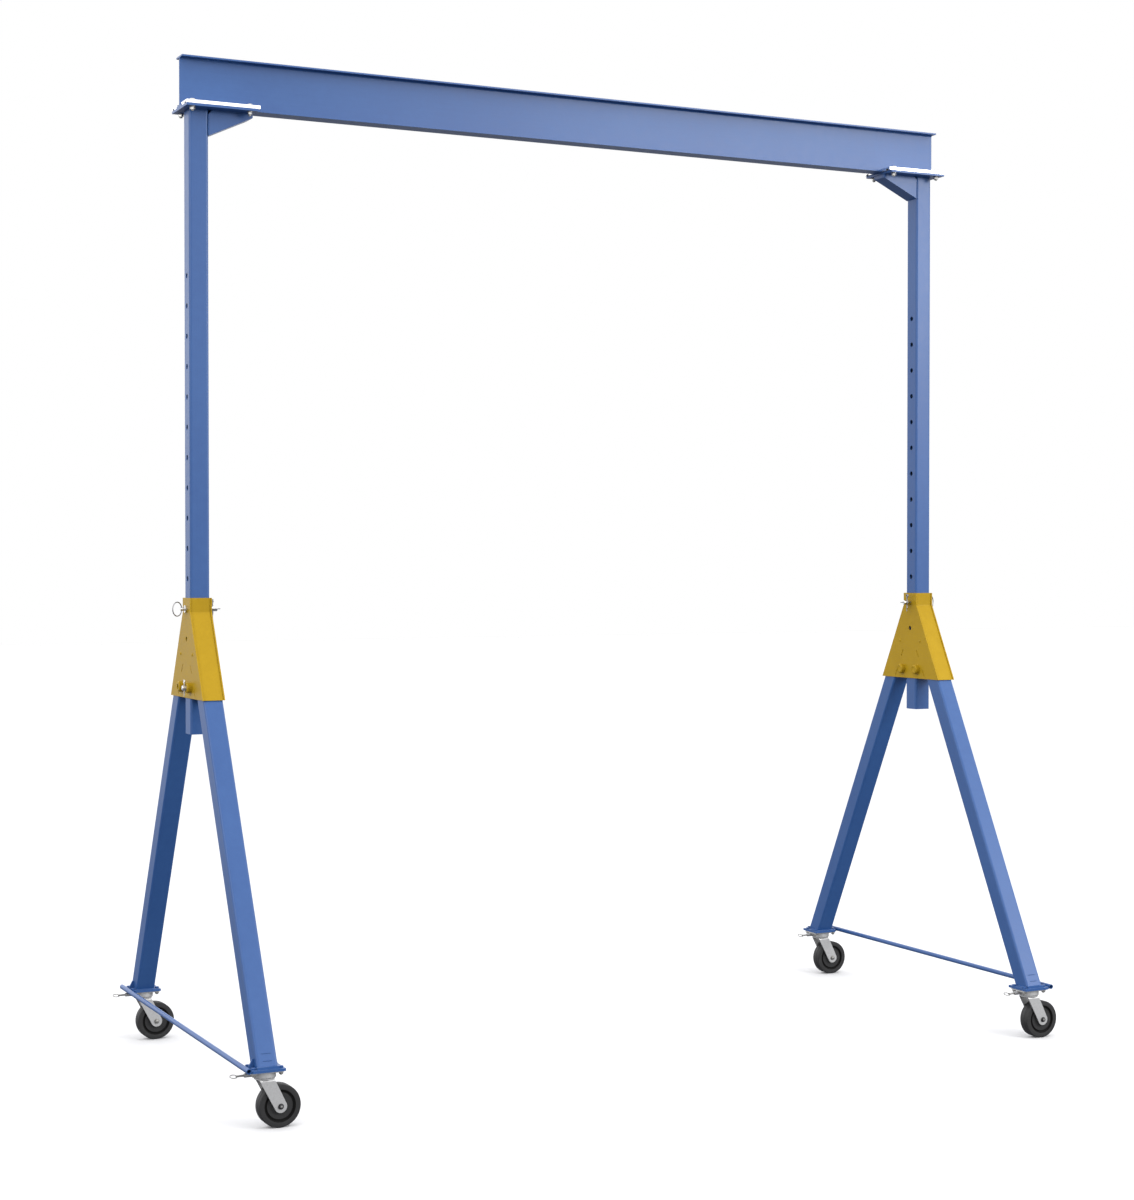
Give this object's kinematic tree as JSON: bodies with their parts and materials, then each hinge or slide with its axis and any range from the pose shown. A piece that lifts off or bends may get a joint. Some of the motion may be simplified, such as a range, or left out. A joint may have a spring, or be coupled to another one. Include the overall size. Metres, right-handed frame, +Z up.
{
  "type": "portable gantry crane",
  "caption": "Rolling gantry crane: a steel beam on telescoping posts, pinned in two A-frames on locking swivel casters.",
  "frame": {"origin": "on the floor, midway between the two A-frames, under the beam's centre", "axes": "+Z up, +X along the beam, +Y across it"},
  "size_m": [4.7352, 2.262, 5.1595],
  "materials": {
    "beam_paint": "semi-gloss blue enamel",
    "head_paint": "semi-gloss safety yellow enamel",
    "clamp_zinc": "bright zinc plate",
    "bolt_zinc": "zinc plated",
    "pin_steel": "zinc plated, lightly worn",
    "caster_zinc": "dull zinc plate on pressed steel",
    "ball_steel": "polished",
    "phenolic": "moulded, dark grey"
  },
  "bodies": {
    "a_frames": {"head_sides_left": "head_paint", "head_covers_left": "head_paint", "leg_sockets_left": "head_paint", "tie_tube_left": "beam_paint", "head_sides_right": "head_paint", "head_covers_right": "head_paint", "leg_sockets_right": "head_paint", "tie_tube_right": "beam_paint", "leg_left_front": "beam_paint", "foot_left_front": "beam_paint", "caster_plate_left_front": "caster_zinc", "leg_left_rear": "beam_paint", "foot_left_rear": "beam_paint", "caster_plate_left_rear": "caster_zinc", "leg_right_front": "beam_paint", "foot_right_front": "beam_paint", "caster_plate_right_front": "caster_zinc", "leg_right_rear": "beam_paint", "foot_right_rear": "beam_paint", "caster_plate_right_rear": "caster_zinc", "leg_screws": "head_paint", "storage_bosses": "head_paint", "spare_pins": "pin_steel", "caster_bolts": "bolt_zinc", "swivel_balls": "ball_steel", "lock_tubes": "caster_zinc"},
    "hoist": {"beam": "beam_paint", "post_left": "beam_paint", "top_plate_left": "beam_paint", "clamp_bars_left": "clamp_zinc", "clamp_bolts_left": "bolt_zinc", "knee_brace_left": "beam_paint", "post_right": "beam_paint", "top_plate_right": "beam_paint", "clamp_bars_right": "clamp_zinc", "clamp_bolts_right": "bolt_zinc", "knee_brace_right": "beam_paint"},
    "height_pin_left": {"height_pin_left": "pin_steel", "pin_rings_left": "pin_steel"},
    "pin_clip_left": {"pin_clip_left": "pin_steel"},
    "height_pin_right": {"height_pin_right": "pin_steel", "pin_rings_right": "pin_steel"},
    "pin_clip_right": {"pin_clip_right": "pin_steel"},
    "swivel_left_front": {"fork_left_front": "caster_zinc", "axle_left_front": "bolt_zinc"},
    "wheel_left_front": {"wheel_left_front": "phenolic"},
    "lock_left_front": {"lock_plunger_left_front": "caster_zinc"},
    "swivel_left_rear": {"fork_left_rear": "caster_zinc", "axle_left_rear": "bolt_zinc"},
    "wheel_left_rear": {"wheel_left_rear": "phenolic"},
    "lock_left_rear": {"lock_plunger_left_rear": "caster_zinc"},
    "swivel_right_front": {"fork_right_front": "caster_zinc", "axle_right_front": "bolt_zinc"},
    "wheel_right_front": {"wheel_right_front": "phenolic"},
    "lock_right_front": {"lock_plunger_right_front": "caster_zinc"},
    "swivel_right_rear": {"fork_right_rear": "caster_zinc", "axle_right_rear": "bolt_zinc"},
    "wheel_right_rear": {"wheel_right_rear": "phenolic"},
    "lock_right_rear": {"lock_plunger_right_rear": "caster_zinc"}
  },
  "joints": [
    {"name": "height_adjust", "type": "slide", "parent": "a_frames", "child": "hoist", "axis": [0, 0, 1], "range_m": [-1.6764, 0.1524]},
    {"name": "pin_play_left", "type": "slide", "parent": "a_frames", "child": "height_pin_left", "axis": [-1, 0, 0], "range_m": [0, 0.0035]},
    {"name": "clip_pull_left", "type": "slide", "parent": "height_pin_left", "child": "pin_clip_left", "axis": [0, 0, 1], "range_m": [0, 0.07]},
    {"name": "pin_play_right", "type": "slide", "parent": "a_frames", "child": "height_pin_right", "axis": [1, 0, 0], "range_m": [0, 0.0035]},
    {"name": "clip_pull_right", "type": "slide", "parent": "height_pin_right", "child": "pin_clip_right", "axis": [0, 0, 1], "range_m": [0, 0.07]},
    {"name": "swivel_left_front", "type": "hinge", "parent": "a_frames", "child": "swivel_left_front", "pos_m": [-2.2, -1.056, 0.25], "axis": [0, 0, 1], "continuous": true},
    {"name": "roll_left_front", "type": "hinge", "parent": "swivel_left_front", "child": "wheel_left_front", "pos_m": [-2.134, -1.056, 0.1016], "axis": [0, 1, 0], "continuous": true},
    {"name": "lock_left_front", "type": "slide", "parent": "a_frames", "child": "lock_left_front", "axis": [1, 0, 0], "range_m": [0, 0.01]},
    {"name": "swivel_left_rear", "type": "hinge", "parent": "a_frames", "child": "swivel_left_rear", "pos_m": [-2.2, 1.056, 0.25], "axis": [0, 0, 1], "continuous": true},
    {"name": "roll_left_rear", "type": "hinge", "parent": "swivel_left_rear", "child": "wheel_left_rear", "pos_m": [-2.134, 1.056, 0.1016], "axis": [0, 1, 0], "continuous": true},
    {"name": "lock_left_rear", "type": "slide", "parent": "a_frames", "child": "lock_left_rear", "axis": [1, 0, 0], "range_m": [0, 0.01]},
    {"name": "swivel_right_front", "type": "hinge", "parent": "a_frames", "child": "swivel_right_front", "pos_m": [2.2, -1.056, 0.25], "axis": [0, 0, 1], "continuous": true},
    {"name": "roll_right_front", "type": "hinge", "parent": "swivel_right_front", "child": "wheel_right_front", "pos_m": [2.266, -1.056, 0.1016], "axis": [0, 1, 0], "continuous": true},
    {"name": "lock_right_front", "type": "slide", "parent": "a_frames", "child": "lock_right_front", "axis": [1, 0, 0], "range_m": [0, 0.01]},
    {"name": "swivel_right_rear", "type": "hinge", "parent": "a_frames", "child": "swivel_right_rear", "pos_m": [2.2, 1.056, 0.25], "axis": [0, 0, 1], "continuous": true},
    {"name": "roll_right_rear", "type": "hinge", "parent": "swivel_right_rear", "child": "wheel_right_rear", "pos_m": [2.266, 1.056, 0.1016], "axis": [0, 1, 0], "continuous": true},
    {"name": "lock_right_rear", "type": "slide", "parent": "a_frames", "child": "lock_right_rear", "axis": [1, 0, 0], "range_m": [0, 0.01]}
  ]
}
